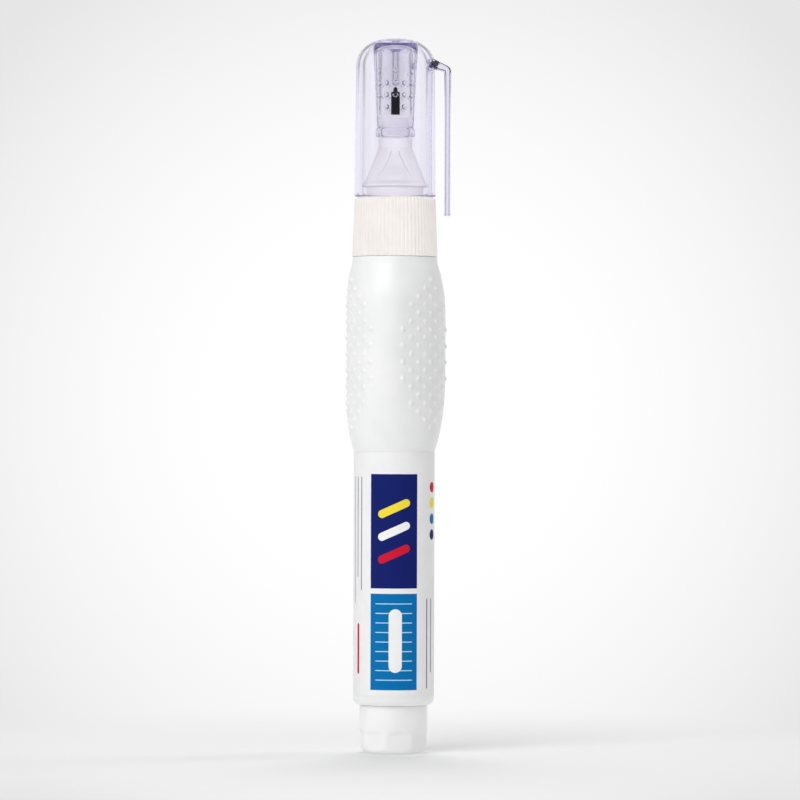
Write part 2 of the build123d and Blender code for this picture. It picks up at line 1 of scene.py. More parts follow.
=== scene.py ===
import bpy
import numpy as np
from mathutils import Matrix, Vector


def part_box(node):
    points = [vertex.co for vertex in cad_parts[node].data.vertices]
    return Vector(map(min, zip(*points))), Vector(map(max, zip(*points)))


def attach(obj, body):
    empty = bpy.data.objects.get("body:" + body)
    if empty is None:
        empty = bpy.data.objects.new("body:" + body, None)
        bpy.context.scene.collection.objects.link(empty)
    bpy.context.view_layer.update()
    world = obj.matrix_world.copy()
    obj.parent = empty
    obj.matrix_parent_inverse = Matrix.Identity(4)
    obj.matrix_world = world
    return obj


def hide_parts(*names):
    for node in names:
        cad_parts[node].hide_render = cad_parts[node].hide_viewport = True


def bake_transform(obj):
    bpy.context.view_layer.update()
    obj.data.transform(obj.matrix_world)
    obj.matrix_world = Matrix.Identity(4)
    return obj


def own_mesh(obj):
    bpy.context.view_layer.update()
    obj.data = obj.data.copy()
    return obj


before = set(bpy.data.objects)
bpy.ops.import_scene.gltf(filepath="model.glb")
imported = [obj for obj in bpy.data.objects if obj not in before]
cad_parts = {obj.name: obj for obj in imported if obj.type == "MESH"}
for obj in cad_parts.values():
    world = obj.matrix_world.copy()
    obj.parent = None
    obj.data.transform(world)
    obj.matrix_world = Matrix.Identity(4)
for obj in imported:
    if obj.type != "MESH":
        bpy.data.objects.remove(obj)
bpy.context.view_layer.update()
mm = 0.001  # the frame is in metres, sizes below are in millimetres


def heights(node):  # lowest and highest point of a CAD node, in millimetres
    low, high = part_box(node)
    return low.z / mm, high.z / mm


# Outlines and skins

def rounded(*corners, steps=6):
    # a line through corners (radius, height, rounding), where a rounding is an arc that touches
    # both sides of its corner
    line = []
    for index, corner in enumerate(corners):
        here = np.array(corner[:2], float)
        if len(corner) == 2:
            line.append(here[None])
            continue
        back = np.array(corners[index - 1][:2]) - here
        ahead = np.array(corners[(index + 1) % len(corners)][:2]) - here
        back, ahead = back / np.linalg.norm(back), ahead / np.linalg.norm(ahead)
        half = np.arccos(np.clip(back @ ahead, -1, 1)) / 2
        centre = here + (back + ahead) / np.linalg.norm(back + ahead) * corner[2] / np.sin(half)
        first, last = (here + way * corner[2] / np.tan(half) - centre for way in (back, ahead))
        sweep = np.pi - 2 * half
        part = np.linspace(0, 1, steps + 1)[:, None]
        arc = np.sin((1 - part) * sweep) * first + np.sin(part * sweep) * last
        line.append(centre + arc / np.sin(sweep))
    return np.concatenate(line)


def fallen(length, drop, distance):
    # how far an arc that falls by drop over length has fallen after distance
    arc = (length**2 + drop**2) / (2 * drop)
    return arc - np.sqrt(arc**2 - distance**2)


def refined(line, spacing):
    # the same line with extra points, so that no step is longer than the spacing
    steps = np.linalg.norm(np.diff(line, axis=0), axis=1)
    counts = np.maximum(np.ceil(steps / spacing), 1).astype(int)
    runs = [np.linspace(line[i], line[i + 1], n, endpoint=False) for i, n in enumerate(counts)]
    return np.concatenate(runs + [line[-1:]])


def skin(grid, loop):
    # quads over a grid of points whose columns go round; its rows close to a loop, or its first
    # and last row close to a point
    rows, columns = grid.shape[:2]
    if loop:
        points = grid.reshape(-1, 3)
        ring = np.arange(rows * columns).reshape(rows, columns)
        ring = np.vstack([ring, ring[:1]])
    else:
        points = np.concatenate([grid[:1].mean(1), grid[1:-1].reshape(-1, 3), grid[-1:].mean(1)])
        ring = 1 + np.arange((rows - 2) * columns).reshape(rows - 2, columns)
    low, high = ring[:-1], ring[1:]
    quads = np.stack([low, np.roll(low, -1, 1), np.roll(high, -1, 1), high], -1)
    faces = quads.reshape(-1, 4).tolist()
    if not loop:
        foot, top = np.zeros(columns, int), np.full(columns, len(points) - 1)
        faces += np.stack([foot, np.roll(ring[0], -1), ring[0]], -1).tolist()
        faces += np.stack([top, ring[-1], np.roll(ring[-1], -1)], -1).tolist()
    return points * mm, faces


def turnedGrid(line, turns, shape=None):
    # a line of (radius, height) carried round the axis: x = r sin(turn), y = -r cos(turn), so
    # turn 0 is the front; shape changes the radius over the whole grid
    radius = np.repeat(line[:, :1], len(turns), axis=1)
    height = np.repeat(line[:, 1:], len(turns), axis=1)
    if shape:
        radius = shape(radius, height, turns[None])
    return np.stack([radius * np.sin(turns), -radius * np.cos(turns), height], -1)


def fullTurn(columns):  # even turns once round the axis
    return np.arange(columns) * 2 * np.pi / columns


def offFace(turns, count, first=0.0):
    # the turn away from the nearest of count faces round the axis
    step = 2 * np.pi / count
    return (turns - np.radians(first) + step / 2) % step - step / 2


def softLeast(a, b, blur):
    # the smaller of two values, with the corner between them rounded over blur
    mix = np.clip(0.5 + 0.5 * (b - a) / blur, 0, 1)
    return b + (a - b) * mix - blur * mix * (1 - mix)


def addPiece(name, points, faces, material, body, nodes, slot, crease=35):
    # a mesh piece, sharp at edges past the crease angle; with a body it rides there and takes the
    # place of the nodes
    mesh = bpy.data.meshes.new(name)
    mesh.from_pydata(points.tolist(), [], faces)
    mesh.shade_smooth()
    mesh.set_sharp_from_angle(angle=np.radians(crease))
    mesh.materials.append(material)
    piece = bpy.data.objects.new(name, mesh)
    bpy.context.scene.collection.objects.link(piece)
    if body:
        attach(piece, body)
        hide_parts(*nodes)
    print("piece:", name, len(faces), "faces")
    return piece


# Materials

def colour(hexCode):  # sRGB hex to linear RGBA
    srgb = np.array([int(hexCode[i:i + 2], 16) for i in (1, 3, 5)]) / 255
    linear = np.where(srgb <= 0.04045, srgb / 12.92, ((srgb + 0.055) / 1.055) ** 2.4)
    return (*linear.tolist(), 1.0)


def add(tree, kind, inputs=None, **settings):
    # one shader node: settings are its options, inputs are values or the sockets that feed it
    node = tree.nodes.new("ShaderNode" + kind)
    for name, value in settings.items():
        setattr(node, name, value)
    for name, value in (inputs or {}).items():
        if isinstance(value, bpy.types.NodeSocket):
            tree.links.new(value, node.inputs[name])
        else:
            node.inputs[name].default_value = value
    return node


def startMaterial(name, **finish):
    # a Principled material with its plain values set, and the Object coordinates to paint it by
    material = bpy.data.materials.new(name)
    material.use_nodes = True
    tree = material.node_tree
    shader = tree.nodes["Principled BSDF"]
    for socket, value in finish.items():
        shader.inputs[socket.replace("_", " ")].default_value = value
    return material, tree, shader, add(tree, "TexCoord").outputs["Object"]


def mottled(tree, where, size, shades):
    # two shades mixed by noise with blotches of that size in millimetres
    noise = add(tree, "TexNoise", {"Vector": where, "Scale": 1 / (size * mm), "Detail": 3.0})
    ramp = add(tree, "MapRange", {"Value": noise.outputs["Fac"], "From Min": 0.35, "From Max": 0.65})
    mix = add(tree, "Mix", {"Factor": ramp.outputs["Result"]}, data_type="RGBA")
    for index, shade in zip((6, 7), shades):
        mix.inputs[index].default_value = colour(shade)
    return mix.outputs[2]


def skinTexture(tree, shader, where, size, depth, roughness):
    # the fine uneven skin of a moulding: noise of that size and depth in millimetres bends the
    # normal and varies the gloss between the two roughness values
    noise = add(tree, "TexNoise", {"Vector": where, "Scale": 1 / (size * mm), "Detail": 2.0})
    bump = add(tree, "Bump", {"Height": noise.outputs["Fac"], "Distance": depth * mm, "Strength": 1.0})
    tree.links.new(bump.outputs["Normal"], shader.inputs["Normal"])
    gloss = add(tree, "MapRange", {"Value": noise.outputs["Fac"],
                                   "To Min": roughness[0], "To Max": roughness[1]})
    tree.links.new(gloss.outputs["Result"], shader.inputs["Roughness"])


def mouldedPlastic(name, shades, roughness, ior, blotch=6.0, grain=0.45, depth=0.006):
    # an opaque moulding: nearly even colour with faint flow marks, a satin skin, soft highlights
    material, tree, shader, where = startMaterial(name, IOR=ior)
    tree.links.new(mottled(tree, where, blotch, shades), shader.inputs["Base Color"])
    skinTexture(tree, shader, where, grain, depth, roughness)
    return material


def metal(name, shades, roughness, scratch=0.12):
    # turned metal: fine rings round the axis catch the light, drawn coarser than they are to show
    material, tree, shader, where = startMaterial(name, Metallic=1.0)
    tree.links.new(mottled(tree, where, 1.5, shades), shader.inputs["Base Color"])
    rings = add(tree, "Mapping", {"Vector": where, "Scale": (0.05, 0.05, 1.0)})
    skinTexture(tree, shader, rings.outputs["Vector"], scratch, 0.002, roughness)
    return material


whitePolyethylene = mouldedPlastic("blowMouldedPolyethylene", ("#f2f2f2", "#edeeee"), (0.30, 0.40), 1.51)
plugPolyethylene = mouldedPlastic("injectedPolyethylene", ("#f6f6f6", "#f2f2f2"), (0.32, 0.42), 1.51)
creamPolypropylene = mouldedPlastic("naturalPolypropylene", ("#f2ede9", "#eee9e5"), (0.36, 0.46), 1.49)
whitePolypropylene = mouldedPlastic("whitePolypropylene", ("#fcfafa", "#f8f6f6"), (0.30, 0.40), 1.49)
greyAcetal = mouldedPlastic("turnedAcetal", ("#cfd0d2", "#c6c7ca"), (0.35, 0.5), 1.48)
greyNitrile = mouldedPlastic("nitrileRubber", ("#4c4d50", "#434447"), (0.55, 0.7), 1.52)
brightSteel = metal("drawnSteel", ("#c9ccd1", "#b5b9bf"), (0.18, 0.3))
# the tip's steel gets a near-black, violet base colour: painted shade, standing in for the dark surroundings
# that bright steel mirrors through the cap
shadePaintedSteel = metal("steelPaintedDark", ("#0d0b13", "#08070c"), (0.14, 0.26))


def tintedPolystyrene():
    # clear moulded polystyrene: glossy, bends what is behind it, and its violet dye deepens with
    # the length of plastic that the light passes; lamps shine through it to the nose
    material, tree, shader, where = startMaterial(
        "tintedPolystyrene", Transmission_Weight=1.0, IOR=1.57, Roughness=0.02)
    shader.inputs["Base Color"].default_value = colour("#ffffff")
    waves = add(tree, "TexNoise", {"Vector": where, "Scale": 1 / (5.0 * mm), "Detail": 1.0})
    bump = add(tree, "Bump", {"Height": waves.outputs["Fac"], "Distance": 0.02 * mm, "Strength": 0.5})
    tree.links.new(bump.outputs["Normal"], shader.inputs["Normal"])
    path = add(tree, "LightPath")
    soft = add(tree, "Math", {0: path.outputs["Is Shadow Ray"], 1: path.outputs["Is Diffuse Ray"]},
               operation="MAXIMUM")
    clear = add(tree, "BsdfTransparent")
    mix = add(tree, "MixShader", {0: soft.outputs[0], 1: shader.outputs[0], 2: clear.outputs[0]})
    dye = add(tree, "VolumeAbsorption", {"Color": (0.17, 0.05, 0.70, 1.0), "Density": 60.0})
    output = tree.nodes["Material Output"]
    tree.links.new(mix.outputs[0], output.inputs["Surface"])
    tree.links.new(dye.outputs[0], output.inputs["Volume"])
    return material


lavenderPolystyrene = tintedPolystyrene()
print("materials:", len(bpy.data.materials))


# Barrel: squeeze bottle with a swelled grip, three patches of pips and a neck

barrel = {
    "columns": 360, "radius": 7.7, "edge": 1.25, "wall": 1.0, "mouth": 6.0, "mouthHeight": 5.0,
    "seatDepth": 0.085, "seatGap": 0.02,  # shallow seat for the label film, and the room at its ends
    "gripBottom": 48.6, "gripRise": 15.2, "gripStraight": 9.0, "gripFall": 11.0,
    "gripRadii": (7.9, 9.85, 8.14),  # at its start, where it is full and at its upper end
    "faceDrop": 1.05, "faceRadius": 14.0, "faceBlur": 0.45,  # three faces, flatter than the full grip
    "shoulder": 8.0, "shoulderEdge": 0.2, "collarGap": 0.03, "neck": 6.3, "neckBore": 5.2,
    "throat": 3.0,  # how far under the grip's upper end the wall starts to close in
    "rowStep": 0.18,
}
pips = {
    "patches": 3, "turn": 50.5, "counts": (4, 7, 8, 9, 10, 9, 8, 7, 4), "columnStep": 10.25,
    "pitch": 3.1, "middle": 18.0, "reach": 0.72, "height": 0.34,
}


def gripRadius(height, foot):
    # an arc that swells from the start to the full radius, a straight part, and an arc that falls
    start, full, end = barrel["gripRadii"]
    fullFrom = foot + barrel["gripRise"]
    fullTo = fullFrom + barrel["gripStraight"]
    below = np.clip(fullFrom - height, 0, barrel["gripRise"])
    above = np.clip(height - fullTo, 0, barrel["gripFall"])
    rising = fallen(barrel["gripRise"], full - start, below)
    falling = fallen(barrel["gripFall"], full - end, above)
    return full - rising - falling


def faceDistance(turns):
    # how far the nearest face lies from the axis: a circle of the face's radius about a centre that
    # lies behind the axis
    back = barrel["faceRadius"] - barrel["gripRadii"][1] + barrel["faceDrop"]
    off = offFace(turns, pips["patches"], pips["turn"])
    return np.sqrt(barrel["faceRadius"]**2 - (back * np.sin(off)) ** 2) - back * np.cos(off)


def pipRise(radius, height, turns, gripFoot):
    # a round soft pip, half a cosine wave high, about the nearest place of the staggered columns
    span = 360 / pips["patches"]
    turn = (np.degrees(turns) - pips["turn"] + span / 2) % span - span / 2
    counts = np.array(pips["counts"])
    column = np.clip(np.round(turn / pips["columnStep"] + (len(counts) - 1) / 2), 0, len(counts) - 1)
    count = counts[column.astype(int)]
    beside = np.radians(turn - (column - (len(counts) - 1) / 2) * pips["columnStep"]) * radius
    place = (height - gripFoot - pips["middle"]) / pips["pitch"] + (count - 1) / 2
    along = (place - np.clip(np.round(place), 0, count - 1)) * pips["pitch"]
    share = np.clip(np.hypot(beside, along) / pips["reach"], 0, 1)
    return pips["height"] * (0.5 + 0.5 * np.cos(np.pi * share))


def makeBarrel():
    # closed half section up the outside, over the neck and down the inside, carried round the axis
    foot, neckTop = heights("barrel")
    collarFoot = heights("ribbed_collar")[0]
    gripFoot = foot + barrel["gripBottom"]
    gripFull = gripFoot + barrel["gripRise"]
    gripTop = gripFull + barrel["gripStraight"] + barrel["gripFall"]
    wall = barrel["wall"]
    radius, inner, full = barrel["radius"], barrel["radius"] - wall, barrel["gripRadii"][1] - wall
    filmFoot, filmTop = heights("label_film")
    seat = radius - barrel["seatDepth"]
    seatLow, seatHigh = filmFoot - barrel["seatGap"], filmTop + barrel["seatGap"]
    lower = rounded(
        (barrel["mouth"], foot), (radius, foot, barrel["edge"]),
        (radius, seatLow), (seat, seatLow), (seat, seatHigh), (radius, seatHigh), steps=8)
    rows = np.linspace(gripFoot + 0.1, gripTop, int((gripTop - gripFoot) / barrel["rowStep"]))
    grip = np.stack([gripRadius(rows, gripFoot), rows], -1)
    rest = collarFoot - barrel["collarGap"]
    throat = gripTop - barrel["throat"]
    step = foot + barrel["mouthHeight"]
    upper = rounded(
        tuple(grip[-1]), (barrel["shoulder"], rest, barrel["shoulderEdge"]), (barrel["neck"], rest),
        (barrel["neck"], neckTop, 0.15), (barrel["neckBore"], neckTop),
        (barrel["neckBore"], gripTop - 0.5, 0.5), (gripRadius(throat, gripFoot) - wall, throat),
        (full, gripFull + barrel["gripStraight"]), (full, gripFull), (inner, gripFoot),
        (inner, step + wall), (barrel["mouth"], step))
    line = np.concatenate([lower, grip, upper[1:]])
    row = np.arange(len(line))[:, None]
    onGrip = (row >= len(lower)) & (row < len(lower) + len(grip))
    onBore = row > len(lower) + len(grip) + np.argmax(upper[:, 1])

    def shape(radius, height, turns):
        # the faces cut the grip back inside and outside, with soft corners outside, and the pips
        # stand on them
        face = faceDistance(turns)
        outside = softLeast(radius, face, barrel["faceBlur"]) + pipRise(radius, height, turns, gripFoot)
        inside = np.where(onBore, np.minimum(radius, face - wall), radius)
        return np.where(onGrip, outside, inside)

    grid = turnedGrid(line, fullTurn(barrel["columns"]), shape)
    addPiece("barrelShell", *skin(grid, True), whitePolyethylene, "pen_body", ["barrel"], "barrel_white")


makeBarrel()


# Tail plug: cup in the barrel's mouth, with eight soft flats round the end that shows

plug = {
    "columns": 192, "radius": 6.46, "edge": 1.7, "show": 9.2, "gap": 0.02, "spigot": 5.98, "wall": 0.95,
    "floor": 1.4, "dish": 0.6, "flats": 8, "flatTurn": 10.5, "flatHeight": 4.75, "flatDepth": 0.42,
    "runout": 0.9, "blur": 0.2,
}


def makeTailPlug():
    # half section of a cup, from the middle of its foot to the middle of its floor, carried round
    foot, top = heights("tail_plug")
    inner = plug["spigot"] - plug["wall"]
    step = plug["show"] - plug["gap"]  # just under the barrel's mouth
    line = rounded(
        (0, foot), (plug["radius"], foot, plug["edge"]), (plug["radius"], step, 0.12),
        (plug["spigot"], step), (plug["spigot"], top, 0.2), (inner, top),
        (inner, plug["floor"] + plug["dish"]), (0, plug["floor"]))
    line = refined(line, 0.3)

    def shape(radius, height, turns):
        # each flat is a plane: a point may be no further out than the plane's distance over the
        # cosine of the turn from its middle
        slope = np.clip((height - plug["flatHeight"] + plug["runout"]) / plug["runout"], 0, 1)
        plane = plug["radius"] - plug["flatDepth"] * (1 - slope)
        limit = plane / np.cos(offFace(turns, plug["flats"], plug["flatTurn"]))
        limit = np.where(height < plug["flatHeight"], limit, plug["radius"] + 1)
        outer = radius > inner + plug["wall"] / 2
        return np.where(outer, softLeast(radius, limit, plug["blur"]), radius)

    grid = turnedGrid(line, fullTurn(plug["columns"]), shape)
    addPiece("tailPlugCup", *skin(grid, False), plugPolyethylene, "pen_body", ["tail_plug"], "plug_white")


makeTailPlug()


# Collar: ring with fine upright ribs that holds the nose down

collar = {
    "columns": 792, "bottomRadius": 8.12, "topRadius": 7.67, "topEdge": 0.6, "bore": 6.86, "lip": 6.47,
    "lipHeight": 1.15, "ribs": 66, "ribDepth": 0.13,
}


def makeCollar():
    # closed half section of a leaning ring with a lip at its top, carried round
    foot, top = heights("ribbed_collar")
    line = rounded(
        (collar["bore"], foot), (collar["bottomRadius"], foot, 0.08),
        (collar["topRadius"], top, collar["topEdge"]), (collar["lip"], top, 0.1),
        (collar["lip"], top - collar["lipHeight"]), (collar["bore"], top - collar["lipHeight"]))
    line = refined(np.concatenate([line, line[:1]]), 0.8)[:-1]

    def shape(radius, height, turns):
        # a squared cosine wave round the outside, with narrow grooves, that fades out on the rounded
        # upper edge
        wave = (0.5 - 0.5 * np.cos(collar["ribs"] * turns)) ** 2
        rise = np.clip((radius - collar["topRadius"] + 2 * collar["topEdge"]) / collar["topEdge"], 0, 1)
        return radius - collar["ribDepth"] * wave * rise

    grid = turnedGrid(line, fullTurn(collar["columns"]), shape)
    addPiece("collarRing", *skin(grid, True), creamPolypropylene, "pen_body", ["ribbed_collar"],
             "collar_cream", 50)


makeCollar()


# Nose cone: flange, spigot with a snap groove, and a cone with three flats that run out low down

nose = {
    "columns": 420, "flange": 6.8, "flangeHeight": 1.2, "spigot": 6.35, "spigotHeight": 3.6, "shoulder": 0.6,
    "coneBase": 5.7, "coneHeight": 6.3, "coneTop": 3.2, "bore": 2.92, "stemBore": 2.54, "stemDepth": 4.0,
    "plugRadius": 5.14, "plugDepth": 3.7, "plugWall": 0.95,
    "neck": 5.35, "neckEdge": 0.35, "neckSlope": 0.2,  # snap groove round the spigot
    "facets": 3, "flatGap": 1.0, "flatDepth": 0.9, "runout": 2.8, "blur": 0.4,
    "line": 0.35, "lineWidth": 0.08, "lineFoot": 2.9, "lineTop": 0.28, "lineEnd": 0.87, "lineFade": 0.05,
}


def makeNoseCone():
    # closed half section from the plug up the outside and down the bore, carried round
    foot, top = heights("nose_cone")
    flangeFoot = foot + nose["plugDepth"]
    spigotFoot = flangeFoot + nose["flangeHeight"]
    spigotTop = spigotFoot + nose["spigotHeight"]
    coneFoot = spigotTop + nose["shoulder"]
    coneTop = coneFoot + nose["coneHeight"]
    flatFoot = coneFoot + nose["flatGap"]
    neckLow, neckHigh = spigotFoot + nose["neckEdge"], spigotTop - nose["neckEdge"]
    stemFoot = top - nose["stemDepth"]
    hollow = nose["plugRadius"] - nose["plugWall"]
    lean = (nose["coneBase"] - nose["coneTop"]) / nose["coneHeight"]
    flatRadius = nose["coneTop"] + (coneTop - flatFoot) * lean
    line = rounded(
        (hollow, foot), (nose["plugRadius"], foot, 0.15), (nose["plugRadius"], flangeFoot),
        (nose["flange"], flangeFoot), (nose["flange"], spigotFoot, 0.15), (nose["spigot"], spigotFoot),
        (nose["spigot"], neckLow, 0.1), (nose["neck"], neckLow + nose["neckSlope"], 0.2),
        (nose["neck"], neckHigh - nose["neckSlope"], 0.2), (nose["spigot"], neckHigh, 0.1),
        (nose["spigot"], spigotTop, 0.3), (nose["coneBase"], coneFoot, 0.5), (flatRadius, flatFoot),
        (flatRadius - 0.02 * lean, flatFoot + 0.02), (nose["coneTop"], coneTop, 0.3),
        (nose["coneTop"], top, 0.2), (nose["stemBore"], top), (nose["stemBore"], stemFoot),
        (nose["bore"], stemFoot), (nose["bore"], spigotFoot + 1.0), (hollow, spigotFoot))
    line = refined(np.concatenate([line, line[:1]]), 0.35)[:-1]

    def shape(radius, height, turns):
        # a flat's plane leans from its lower end, where it runs out, to the top of the cone, and a fine
        # straight line is cut down each side of it
        part = (height - flatFoot) / (coneTop - flatFoot)
        plane = (flatRadius - nose["flatDepth"]) * (1 - part) + nose["coneTop"] * part
        low = np.clip(1 - (height - flatFoot) / nose["runout"], 0, 1)
        off = offFace(turns, nose["facets"])
        limit = (plane + nose["flatDepth"] * low**2) / np.cos(off)
        cut = (height > flatFoot + 0.01) & (height < coneTop + 0.3) & (radius > nose["bore"] + 0.1)
        aside = np.abs(radius * np.sin(off)) - nose["lineFoot"] * (1 - part) - nose["lineTop"] * part
        fade = np.clip(np.minimum(part, nose["lineEnd"] - part) / nose["lineFade"], 0, 1)
        line = nose["line"] * np.exp(-(aside / nose["lineWidth"]) ** 2) * fade
        return np.where(cut, softLeast(radius, limit, nose["blur"]) - line, radius)

    grid = turnedGrid(line, fullTurn(nose["columns"]), shape)
    addPiece("noseShell", *skin(grid, True), whitePolypropylene, "pen_body", ["nose_cone"], "nose_white", 20)


makeNoseCone()


# Metal tip: dark tube with a rolled edge and a small nub

tip = {
    "columns": 96, "radius": 0.85, "edge": 0.3, "nub": 0.39, "nubHeight": 0.7, "bore": 0.31, "inside": 0.5,
    "flange": 1.22, "flangeHeight": 0.8, "groove": 0.05, "grooveHalf": 0.12, "grooveDrop": 0.9,
}


def makeMetalTip():
    # closed half section of the tube, carried round
    foot, top = heights("metal_tip")
    shoulder = top - tip["nubHeight"]
    groove = shoulder - tip["grooveDrop"]
    line = rounded(
        (tip["inside"], foot), (tip["flange"], foot, 0.1), (tip["flange"], foot + tip["flangeHeight"]),
        (tip["radius"], foot + tip["flangeHeight"]), (tip["radius"], groove - tip["grooveHalf"]),
        (tip["radius"] - tip["groove"], groove), (tip["radius"], groove + tip["grooveHalf"]),
        (tip["radius"], shoulder, tip["edge"]), (tip["nub"], shoulder, 0.08), (tip["nub"], top, 0.06),
        (tip["bore"], top), (tip["bore"], top - 1.1), (tip["inside"], top - 1.4))
    line = refined(np.concatenate([line, line[:1]]), 0.4)[:-1]
    grid = turnedGrid(line, fullTurn(tip["columns"]))
    addPiece("metalTipTube", *skin(grid, True), shadePaintedSteel, "pen_body", ["metal_tip"], "dark_steel")


makeMetalTip()


# Label film: thin wrap with a printed face

film = {"columns": 240, "outer": 7.7, "thickness": 0.08, "seam": 0.6}


def printedFilm():
    # printed polypropylene film: flat even inks under a clear glossy varnish
    material, tree, shader, where = startMaterial("printedFilm", IOR=1.49, Specular_IOR_Level=0.05)
    place = add(tree, "UVMap", uv_map="unrolled").outputs["UV"]  # millimetres round and up the film
    layers = []

    def bar(ink, middle, size, corner=0.0, turn=0.0):
        # a bar with rounded corners: inside where the distance beyond its inner box is under the corner
        around = add(tree, "VectorMath", {0: place, 1: (*middle, 0.0)}, operation="SUBTRACT")
        if turn:
            around = add(tree, "VectorRotate", {"Vector": around.outputs[0], "Angle": np.radians(turn)},
                         rotation_type="Z_AXIS")
        side = add(tree, "VectorMath", {0: around.outputs[0]}, operation="ABSOLUTE")
        inset = (size[0] / 2 - corner, size[1] / 2 - corner, 1.0)
        beyond = add(tree, "VectorMath", {0: side.outputs[0], 1: inset}, operation="SUBTRACT")
        outside = add(tree, "VectorMath", {0: beyond.outputs[0], 1: (0.0, 0.0, 0.0)}, operation="MAXIMUM")
        reach = add(tree, "VectorMath", {0: outside.outputs[0]}, operation="LENGTH")
        inside = add(tree, "Math", {0: reach.outputs["Value"], 1: corner + 0.005}, operation="LESS_THAN")
        layers.append((ink, inside.outputs[0]))

    navy, blue, red, yellow, white, grey = "#16226a", "#0871b1", "#d01c33", "#f5e03c", "#f4f4f3", "#5f6178"
    bar(navy, (0.0, 42.3), (9.3, 21.6))  # upper field
    bar(blue, (0.0, 21.4), (9.3, 18.2))  # lower field
    for step, ink in enumerate((yellow, white, red)):  # three slanting strokes
        bar(ink, (0.0, 46.6 - 4.3 * step), (6.6, 1.5), 0.75, -24)
    for step in range(9):  # ruled sheet with one broad stroke over it
        bar("#bfe0f4", (0.0, 14.2 + 1.8 * step), (7.2, 0.16), 0.08)
    bar(white, (0.3, 21.6), (2.5, 12.0), 1.25)
    for step, length in enumerate((24.0, 19.0, 21.5)):  # thin upright lines at the left
        bar(grey, (-9.6 + 1.25 * step, 52.6 - length / 2), (0.22, length), 0.1)
    bar(red, (-8.1, 20.0), (0.7, 9.6), 0.35)
    for step, ink in enumerate((red, yellow, blue, navy)):  # dots at the right
        bar(ink, (9.2, 50.6 - 3.0 * step), (2.0, 2.0), 1.0)
    for step, length in enumerate((17.0, 14.0)):
        bar(navy, (7.3 + 1.5 * step, 29.5 - length / 2), (0.24, length), 0.12)
    for side in (-1, 1):  # bands beside the seam
        bar(blue, (side * 20.5, 34.0), (1.2, 41.6), 0.0)
        bar(grey, (side * 18.6, 34.0), (0.2, 41.6), 0.0)

    ink = mottled(tree, where, 5.0, ("#f2f2f2", "#eeeeef"))
    for shade, mask in layers:
        mix = add(tree, "Mix", {"Factor": mask, 6: ink, 7: colour(shade)}, data_type="RGBA")
        ink = mix.outputs[2]
    tree.links.new(ink, shader.inputs["Base Color"])
    skinTexture(tree, shader, where, 0.6, 0.003, (0.38, 0.46))
    return material


def makeLabel():
    # a strip bent round the barrel, open by the seam at the back: an outer and an inner face
    # joined at all four edges
    foot, top = heights("label_film")
    ends = np.pi - film["seam"] / 2 / film["outer"]
    turns = np.linspace(-ends, ends, film["columns"])
    section = np.array([[film["outer"], foot], [film["outer"], top],
                        [film["outer"] - film["thickness"], top], [film["outer"] - film["thickness"], foot]])
    grid = turnedGrid(section, turns)
    corner = np.arange(grid.shape[0] * grid.shape[1]).reshape(grid.shape[:2])
    ring = np.vstack([corner, corner[:1]])
    quads = np.stack([ring[:-1, :-1], ring[:-1, 1:], ring[1:, 1:], ring[1:, :-1]], -1)
    faces = quads.reshape(-1, 4).tolist() + [corner[::-1, 0].tolist(), corner[:, -1].tolist()]
    piece = addPiece("labelWrap", grid.reshape(-1, 3) * mm, faces, printedFilm(), "pen_body", ["label_film"],
                     "label_print")
    around = np.broadcast_to(turns * film["outer"], grid.shape[:2])
    unrolled = np.stack([around, grid[..., 2]], -1).reshape(-1, 2)
    owners = np.empty(len(piece.data.loops), np.int32)
    piece.data.loops.foreach_get("vertex_index", owners)
    layer = piece.data.uv_layers.new(name="unrolled")
    layer.data.foreach_set("uv", unrolled[owners].astype(np.float32).ravel())


makeLabel()


# Cap: clear shell, sealing sleeve and centre post in one moulding, with the pocket clip

cap = {
    "columns": 192, "rim": 7.73, "mouth": 6.41, "side": 7.55, "sideRise": 4.2, "crease": 5.3,
    "crownRise": 1.0, "crown": 2.2, "bulge": 0.2, "dimple": 0.6, "inner": 6.34, "roofDrop": 1.4,
    "roofRise": 3.8, "sleeveRoot": 4.26, "sleeveMouth": 3.42, "mouthHeight": 11.3, "land": 2.58,
    "landHeight": 1.8, "slope": 2.4, "bore": 3.12, "boreDrop": 1.6, "boreEdge": 1.2, "post": 0.69,
    "postFoot": 21.35, "bead": 0.3, "beadHeight": 1.6, "beadEdge": 0.5,
}
bumps = {"columns": 12, "rows": 3, "pitch": 2.26, "low": 17.0, "reach": 0.5, "height": 0.26}
clip = {
    "sectionPoints": 40, "squareness": 3.0, "width": 4.0, "middle": 9.905, "rootDrop": 4.9, "bend": 0.75,
    "start": 6.45, "startRise": 0.5, "startWidth": 7.2, "rootEnd": 8.05, "kneeDrop": 0.9, "startHalf": 1.0,
    "rootHalf": 0.72, "taper": 4.3, "half": 0.675, "endEdge": 0.2,
}


def bumpRise(height, turns, rim):
    # a round dome about the nearest place of the staggered columns
    step = 2 * np.pi / bumps["columns"]
    column = np.round(turns / step)
    beside = (turns - column * step) * cap["bore"]
    low = rim + bumps["low"] + bumps["pitch"] * ((column + 1) % 2)
    row = np.clip(np.round((height - low) / bumps["pitch"]), 0, bumps["rows"] - 1)
    away = np.clip(np.hypot(beside, height - low - row * bumps["pitch"]), 0, bumps["reach"])
    return bumps["height"] - fallen(bumps["reach"], bumps["height"], away)


